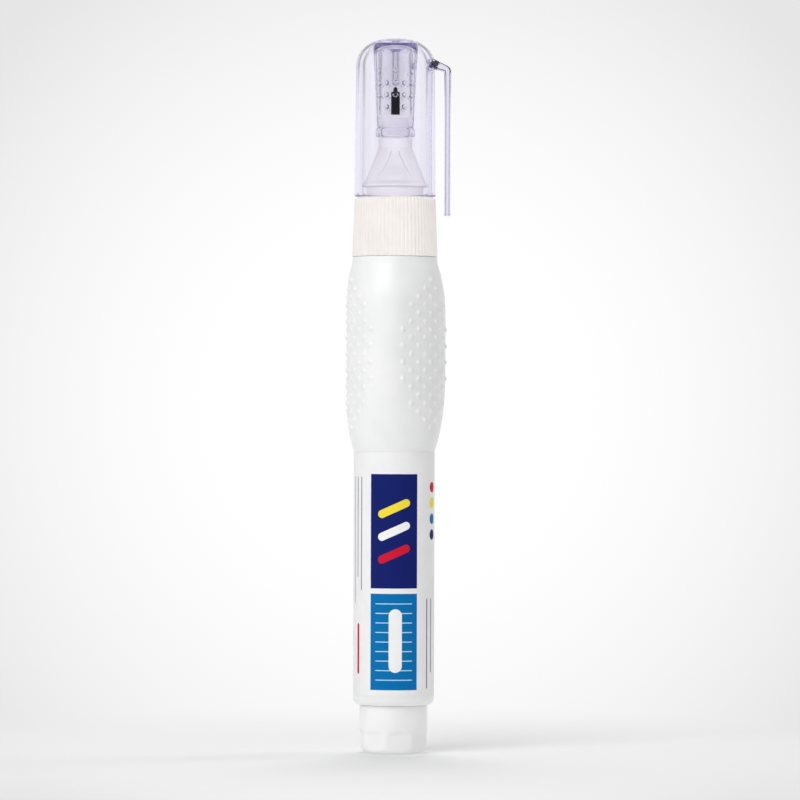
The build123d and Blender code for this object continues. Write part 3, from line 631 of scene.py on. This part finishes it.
def capLine(rim, top):
    # half section from the post's foot round the bore, sleeve, inside and outside to the crown
    mouth, bore, roof = rim + cap["mouthHeight"], top - cap["boreDrop"], top - cap["roofDrop"]
    side, crease = top - cap["crownRise"] - cap["sideRise"], top - cap["crownRise"]
    beadRadius, postFoot = cap["sleeveMouth"] + cap["bead"], rim + cap["postFoot"]
    inside = rounded(
        (0, postFoot), (cap["post"], postFoot, 0.15), (cap["post"], bore, cap["boreEdge"]),
        (cap["bore"], bore, cap["boreEdge"]), (cap["bore"], mouth + cap["landHeight"] + cap["slope"], 0.6),
        (cap["land"], mouth + cap["landHeight"], 0.3), (cap["land"], mouth, 0.08),
        (beadRadius, mouth, cap["beadEdge"]), (beadRadius, mouth + cap["beadHeight"], cap["beadEdge"]),
        (cap["sleeveMouth"], mouth + cap["beadHeight"] + 0.1, 0.1), (cap["sleeveRoot"], roof))
    fall = np.linspace(0, 1, 14)[1:, None]
    height = roof - cap["roofRise"] * fall
    drop = fallen(cap["roofRise"], cap["inner"] - cap["sleeveRoot"], height - roof + cap["roofRise"])
    vault = np.hstack([cap["inner"] - drop, height])
    rimLine = rounded((cap["inner"], roof - cap["roofRise"]), (cap["mouth"], rim, 0.15),
                      (cap["rim"], rim, 0.35), (cap["side"], side))
    rise = cap["sideRise"] * np.linspace(0, 1, 18)[1:, None]
    inset = fallen(cap["sideRise"], cap["side"] - cap["crease"], rise)
    shoulder = np.hstack([cap["side"] - inset, side + rise])
    part = np.linspace(0, 1, 10)[1:, None]
    run = np.array([cap["crown"] - cap["crease"], cap["crownRise"]])
    across = np.array([run[1], -run[0]]) / np.linalg.norm(run)
    slope = np.array([cap["crease"], crease]) + part * run + across * cap["bulge"] * 4 * part * (1 - part)
    out = np.linspace(cap["crown"], 0, 8)[1:, None]
    dimple = np.hstack([out, top - fallen(cap["crown"], cap["dimple"], cap["crown"] - out)])
    return np.concatenate([inside, vault, rimLine[1:], shoulder, slope, dimple])


def makeCapShell(rim, top):
    # the half section, with close rows on the bore where the domes stand, carried round
    line = refined(capLine(rim, top), 0.5)
    lowest, highest = rim + bumps["low"] - 0.6, rim + bumps["low"] + bumps["rows"] * bumps["pitch"] + 0.6
    onBore = np.abs(line[:, 0] - cap["bore"]) < 1e-6
    wall = np.linspace(highest, lowest, int((highest - lowest) / 0.1))
    start = np.flatnonzero(onBore & (line[:, 1] < highest))[0]
    stop = np.flatnonzero(onBore & (line[:, 1] > lowest))[-1] + 1
    bore = np.stack([np.full_like(wall, cap["bore"]), wall], -1)
    line = np.concatenate([line[:start], bore, line[stop:]])
    onBore = np.zeros(len(line), bool)
    onBore[start:start + len(bore)] = True

    def shape(radius, height, turns):
        return radius - onBore[:, None] * bumpRise(height, turns, rim)

    return skin(turnedGrid(line, fullTurn(cap["columns"]), shape), False)


def makeClipStrip(top):
    # a soft rectangle carried out and down from the cap's wall, where it is wider, round a knee and
    # down to the end
    level = top - clip["rootDrop"]
    foot = heights("pocket_clip")[0]
    path = rounded((clip["start"], level + clip["startRise"]),
                   (clip["middle"], level - clip["kneeDrop"], clip["bend"]),
                   (clip["middle"], foot + clip["endEdge"]), steps=12)
    end = [[clip["middle"], foot + clip["endEdge"] / 4], [clip["middle"], foot]]
    path = np.concatenate([refined(path, 0.4), end])
    run = np.gradient(path, axis=0)
    run /= np.linalg.norm(run, axis=1)[:, None]
    along = np.concatenate([[0], np.cumsum(np.linalg.norm(np.diff(path, axis=0), axis=1))])
    knee = along[np.argmax(path[:, 0] > clip["middle"] - 1e-6)]
    half = np.interp(along, [0, knee, knee + clip["taper"]],
                     [clip["startHalf"], clip["rootHalf"], clip["half"]])
    half[-2:] *= 0.9, 0.6
    angle = fullTurn(clip["sectionPoints"])
    power = 2 / clip["squareness"]
    thick = half[:, None] * np.sign(np.cos(angle)) * np.abs(np.cos(angle)) ** power
    width = np.interp(path[:, 0], [clip["start"], clip["rootEnd"]], [clip["startWidth"], clip["width"]])
    wide = width[:, None] / 2 * np.sign(np.sin(angle)) * np.abs(np.sin(angle)) ** power
    grid = np.stack([path[:, :1] - thick * run[:, 1:], wide, path[:, 1:] + thick * run[:, :1]], -1)
    return skin(grid[::-1], False)


def makeCap():
    # shell and strip become one mesh, which bends where the strip leaves the wall
    rim, top = heights("cap")
    shell = addPiece("capShell", *makeCapShell(rim, top), lavenderPolystyrene, None, [], "", 30)
    strip = addPiece("clipStrip", *makeClipStrip(top), lavenderPolystyrene, None, [], "", 30)
    join = shell.modifiers.new("clipJoin", "BOOLEAN")
    join.operation, join.solver, join.object = "UNION", "EXACT", strip
    whole = bpy.data.meshes.new_from_object(shell.evaluated_get(bpy.context.evaluated_depsgraph_get()))
    shell.modifiers.clear()
    shell.data = whole
    whole.set_sharp_from_angle(angle=np.radians(30))
    bpy.data.objects.remove(strip)
    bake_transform(shell)
    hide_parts("cap", "pocket_clip")
    print("cap and clip joined:", len(whole.polygons), "faces")


makeCap()


# Valve spring: wire coil that closes up as the needle is pressed in

spring = {"sides": 12, "steps": 40, "wire": 0.15, "radius": 1.25, "turns": 8}


def makeSpring():
    # a round wire carried along a helix: steady radius, height in step with the turn
    foot, top = heights("valve_spring")
    wire, radius = spring["wire"], spring["radius"]
    part = np.linspace(0, 1, spring["turns"] * spring["steps"] + 1)
    turn = 2 * np.pi * spring["turns"] * part
    out = np.stack([np.cos(turn), np.sin(turn), np.zeros_like(turn)], -1)
    middle = out * radius + np.array([0, 0, 1]) * (foot + wire + (top - foot - 2 * wire) * part)[:, None]
    run = np.gradient(middle, axis=0)
    across = np.cross(run / np.linalg.norm(run, axis=1)[:, None], out)
    angle = fullTurn(spring["sides"])[None, :, None]
    grid = middle[:, None] + wire * (np.cos(angle) * out[:, None] + np.sin(angle) * across[:, None])
    grid = np.concatenate([grid[:1], grid, grid[-1:]])
    piece = addPiece("springCoil", *skin(grid, False), brightSteel, "pen_body", ["valve_spring"], "steel")
    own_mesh(piece)


makeSpring()


# CAD pieces that stay, with their finishes

finishes = {
    "tip_holder": whitePolypropylene, "valve_needle": brightSteel, "needle_carrier": greyAcetal,
    "spring_retainer": greyAcetal, "neck_seal": greyNitrile, "mixing_ball": brightSteel,
}
for node, finish in finishes.items():
    for place in bpy.data.objects[node].material_slots:
        place.material = finish
print("finished CAD pieces:", len(finishes))


# Studio: pale sweep, soft lamps and the camera

studio = {
    "wallBack": 0.5, "bendRadius": 0.15, "front": -1.5, "halfWidth": 1.6, "wallTop": 1.2,  # metres
    "penMiddle": 0.07, "white": "#ffffff", "paper": "#e4e4e4", "fill": "#f7f7f7", "fillLevel": 0.52,
    # footReach and footLevel: where and how bright the paper is painted under the pen's foot, over its
    # contact shadow
    "shadeReach": (0.03, 0.15), "footReach": (0.0062, 0.0085), "footLevel": 0.69,
    "coneFoot": (0.0, -0.95, 0.0671), "fall": 21.5, "middle": 1.03, "least": 0.79,
    "dim": 0.1, "dimFrom": (-0.85, -0.3), "dimTop": 0.7, "overhead": (0.45, 0.8),
    "cards": ((54, 84, -1.0), (18, 40, 0.14)),  # degrees off the back, lowest sine
    "cardEdge": 6, "cardRise": 0.03, "cardLevel": 0.4,
}


def looking(tree, path):
    # 1 for a ray that looks at a thing straight, mirrored or through clear plastic, 0 for its other light
    straight = add(tree, "Math", {0: path.outputs["Is Camera Ray"], 1: path.outputs["Is Glossy Ray"]},
                   operation="MAXIMUM")
    return add(tree, "Math", {0: straight.outputs[0], 1: path.outputs["Is Transmission Ray"]},
               operation="MAXIMUM").outputs[0]


def roomLevel(tree, path, way):
    # what clear plastic shows of the room: pale all round, with upright grey cards at both sides behind
    # the pen and a dim ceiling, which draw its outlines; to light that was mirrored the front is dim too
    split = add(tree, "SeparateXYZ", {0: way})
    turn = add(tree, "Math", {0: split.outputs["X"], 1: split.outputs["Y"]}, operation="ARCTAN2")
    turn = add(tree, "Math", {0: turn.outputs[0]}, operation="ABSOLUTE")
    turn = add(tree, "Math", {0: turn.outputs[0]}, operation="DEGREES")
    low, high = studio["overhead"]
    overhead = add(tree, "MapRange", {"Value": split.outputs["Z"], "From Min": low, "From Max": high,
                                      "To Min": 1.0, "To Max": studio["dimTop"]})
    room = overhead.outputs["Result"]
    for start, stop, lowest in studio["cards"]:
        edges = ((turn.outputs[0], start, start + studio["cardEdge"]),
                 (turn.outputs[0], stop, stop - studio["cardEdge"]),
                 (split.outputs["Z"], lowest, lowest + studio["cardRise"]))
        inside = 1.0
        for value, outer, inner in edges:
            step = add(tree, "MapRange", {"Value": value, "From Min": outer, "From Max": inner})
            both = add(tree, "Math", {0: inside, 1: step.outputs["Result"]}, operation="MULTIPLY")
            inside = both.outputs[0]
        shade = add(tree, "MapRange", {"Value": inside, "To Min": 1.0, "To Max": studio["cardLevel"]})
        room = add(tree, "Math", {0: room, 1: shade.outputs["Result"]}, operation="MULTIPLY").outputs[0]
    low, high = studio["dimFrom"]
    behind = add(tree, "MapRange", {"Value": split.outputs["Y"], "From Min": low, "From Max": high,
                                    "To Min": studio["dim"], "To Max": 1.0})
    mirrored = add(tree, "Math", {0: path.outputs["Glossy Depth"], 1: 0.5}, operation="GREATER_THAN")
    front = add(tree, "Mix", {0: mirrored.outputs[0], 2: 1.0, 3: behind.outputs["Result"]})
    return add(tree, "Math", {0: room, 1: front.outputs[0]}, operation="MULTIPLY").outputs[0]


def paperSweep():
    # matt white paper: seen as bright paper with a gentle fall-off to its edges, it keeps the shadow near
    # the pen, save right under
    #     # the foot, where it is painted at a fixed brightness over the contact shadow; it is see-through
    #     from its back
    material, tree, shader, where = startMaterial("paperSweep", Roughness=0.9)
    shader.inputs["Base Color"].default_value = colour(studio["paper"])
    shader.inputs["Specular IOR Level"].default_value = 0.0
    # the light on the paper is a cone that widens to the back and falls off with the square of the
    # distance from its axis over the distance along it
    along = add(tree, "VectorMath", {0: where, 1: studio["coneFoot"]}, operation="SUBTRACT")
    split = add(tree, "SeparateXYZ", {0: along.outputs[0]})
    aside = add(tree, "Math", {0: split.outputs["X"], 1: split.outputs["Y"]}, operation="DIVIDE")
    above = add(tree, "Math", {0: split.outputs["Z"], 1: split.outputs["Y"]}, operation="DIVIDE")
    above2 = add(tree, "Math", {0: above.outputs[0], 1: above.outputs[0]}, operation="MULTIPLY")
    apart = add(tree, "Math", {0: aside.outputs[0], 1: aside.outputs[0], 2: above2.outputs[0]},
                operation="MULTIPLY_ADD")
    level = add(tree, "Math", {0: apart.outputs[0], 1: -studio["fall"], 2: studio["middle"]},
                operation="MULTIPLY_ADD")
    level = add(tree, "Math", {0: level.outputs[0], 1: studio["least"]}, operation="MAXIMUM")
    way = add(tree, "VectorMath", {0: where, 1: (0.0, 0.0, studio["penMiddle"])}, operation="SUBTRACT")
    way = add(tree, "VectorMath", {0: way.outputs[0]}, operation="NORMALIZE")
    path = add(tree, "LightPath")
    other = roomLevel(tree, path, way.outputs[0])
    shown = add(tree, "Mix", {0: path.outputs["Is Camera Ray"], 2: other, 3: level.outputs[0]})
    distance = add(tree, "VectorMath", {0: where}, operation="LENGTH")
    # painted light: under the pen's foot the paper shows a fixed brightness, footLevel, in place of its
    # contact shadow
    foot = add(tree, "MapRange", {"Value": distance.outputs["Value"], "From Min": studio["footReach"][0],
                                  "From Max": studio["footReach"][1]}, interpolation_type="SMOOTHSTEP")
    paintedUnderFoot = add(tree, "Mix", {0: foot.outputs["Result"], 2: studio["footLevel"], 3: shown.outputs[0]})
    glow = add(tree, "Emission", {"Color": colour(studio["white"]), "Strength": paintedUnderFoot.outputs[0]})
    near = add(tree, "MapRange", {"Value": distance.outputs["Value"], "From Min": studio["shadeReach"][0],
                                  "From Max": studio["shadeReach"][1]}, interpolation_type="SMOOTHSTEP")
    under = add(tree, "Math", {0: 1.0, 1: foot.outputs["Result"]}, operation="SUBTRACT")
    lit = add(tree, "Math", {0: near.outputs["Result"], 1: under.outputs[0]}, operation="MAXIMUM")
    seen = add(tree, "MixShader", {0: lit.outputs[0], 1: shader.outputs[0], 2: glow.outputs[0]})
    front = add(tree, "MixShader", {0: looking(tree, path), 1: shader.outputs[0], 2: seen.outputs[0]})
    behind = add(tree, "BsdfTransparent")
    side = add(tree, "NewGeometry")
    both = add(tree, "MixShader", {0: side.outputs["Backfacing"], 1: front.outputs[0], 2: behind.outputs[0]})
    tree.links.new(both.outputs[0], tree.nodes["Material Output"].inputs["Surface"])
    return material


def makeSweep():
    # floor, quarter bend and wall as one profile carried across
    bend = np.radians(np.linspace(-90, 0, 16))
    back, radius = studio["wallBack"], studio["bendRadius"]
    along = np.concatenate([[studio["front"], -0.3, 0.0], back - radius + radius * np.cos(bend), [back]])
    up = np.concatenate([[0.0, 0.0, 0.0], radius + radius * np.sin(bend), [studio["wallTop"]]])
    across = np.linspace(-studio["halfWidth"], studio["halfWidth"], 9)
    grid = np.stack(np.broadcast_arrays(across[None], along[:, None], up[:, None]), -1)
    index = np.arange(grid.shape[0] * grid.shape[1]).reshape(grid.shape[:2])
    quads = np.stack([index[:-1, :-1], index[:-1, 1:], index[1:, 1:], index[1:, :-1]], -1).reshape(-1, 4)
    sweep = addPiece("paperSweep", grid.reshape(-1, 3), quads.tolist(), paperSweep(), None, [], "")


def makeWorld():
    # even fill light, and the room itself where something looks at it
    world = bpy.data.worlds.new("studio")
    bpy.context.scene.world = world
    world.use_nodes = True
    tree = world.node_tree
    fill = tree.nodes["Background"]
    fill.inputs["Color"].default_value = colour(studio["fill"])
    fill.inputs["Strength"].default_value = studio["fillLevel"]
    path = add(tree, "LightPath")
    level = roomLevel(tree, path, add(tree, "TexCoord").outputs["Generated"])
    shown = add(tree, "Mix", {0: path.outputs["Is Camera Ray"], 2: level, 3: 1.0})
    seen = add(tree, "Background", {"Color": colour(studio["white"]), "Strength": shown.outputs[0]})
    mix = add(tree, "MixShader", {0: looking(tree, path), 1: fill.outputs[0], 2: seen.outputs[0]})
    tree.links.new(mix.outputs[0], tree.nodes["World Output"].inputs["Surface"])


def addLamp(name, azimuth, elevation, distance, size, power, mirrored=False, pieces=(), below=False,
            spared=()):
    # a softbox aimed at the middle of the pen; azimuth 0 is in front, positive to the right; it may
    # leave a highlight or not, and may be kept to some pieces, also from below the floor, or off some
    lamp = bpy.data.lights.new(name, "AREA")
    lamp.shape, lamp.size, lamp.size_y, lamp.energy = "RECTANGLE", size[0], size[1], power
    flat, rise = np.radians(azimuth), np.radians(elevation)
    way = np.array([np.sin(flat) * np.cos(rise), -np.cos(flat) * np.cos(rise), np.sin(rise)])
    holder = bpy.data.objects.new(name, lamp)
    holder.location = way * distance + np.array([0, 0, studio["penMiddle"]])
    holder.rotation_euler = (np.pi / 2 - rise, 0, flat)
    holder.visible_glossy, holder.visible_transmission = mirrored, False
    if pieces or spared:
        lit = bpy.data.collections.new(name + "Pieces")
        for piece in pieces or spared:
            lit.objects.link(bpy.data.objects[piece])
        for entry in lit.collection_objects:
            entry.light_linking.link_state = "EXCLUDE" if spared else "INCLUDE"
        holder.light_linking.receiver_collection = lit
        holder.light_linking.blocker_collection = lit if below else None
    bpy.context.scene.collection.objects.link(holder)


def addCamera():
    # a long lens far off at the height of the pen's middle, with a slight lean
    view = {"eye": (1.05, -950.0, 67.1), "frameWidth": 152.2, "lean": -0.19}  # millimetres and degrees
    data = bpy.data.cameras.new("photoCamera")
    data.sensor_width = 36.0
    data.lens = data.sensor_width * -view["eye"][1] / view["frameWidth"]
    camera = bpy.data.objects.new("photoCamera", data)
    camera.location = np.array(view["eye"]) * mm
    camera.rotation_euler = (np.pi / 2, np.radians(view["lean"]), 0)
    bpy.context.scene.collection.objects.link(camera)
    bpy.context.scene.camera = camera


makeSweep()
makeWorld()
addLamp("keyLamp", -30, 36, 0.75, (0.5, 0.45), 3.05, True, spared=("capShell", "noseShell"))
addLamp("rimLamp", 115, 32, 0.6, (0.2, 0.35), 0.6)
addLamp("topLamp", 180, 62, 0.65, (0.3, 0.3), 1.35)
# milky plastic passes light on from all round, so its far side is lit too, and the nose evenly
addLamp("milkyLamp", 65, 12, 0.6, (0.4, 0.4), 0.75, pieces=("collarRing", "tip_holder"))
addLamp("noseLamp", -6, 15, 0.6, (0.4, 0.3), 1.95, pieces=("noseShell",))
# the pale table throws light back up at the foot
addLamp("tableLamp", -20, -84, 0.5, (0.4, 0.3), 0.35, pieces=("tailPlugCup", "barrelShell"), below=True)
addCamera()
bpy.context.scene.view_settings.view_transform = "Standard"
rays = bpy.context.scene.cycles  # light runs on inside clear plastic for many reflections
rays.max_bounces, rays.glossy_bounces, rays.transmission_bounces = 32, 24, 32
print("studio ready")
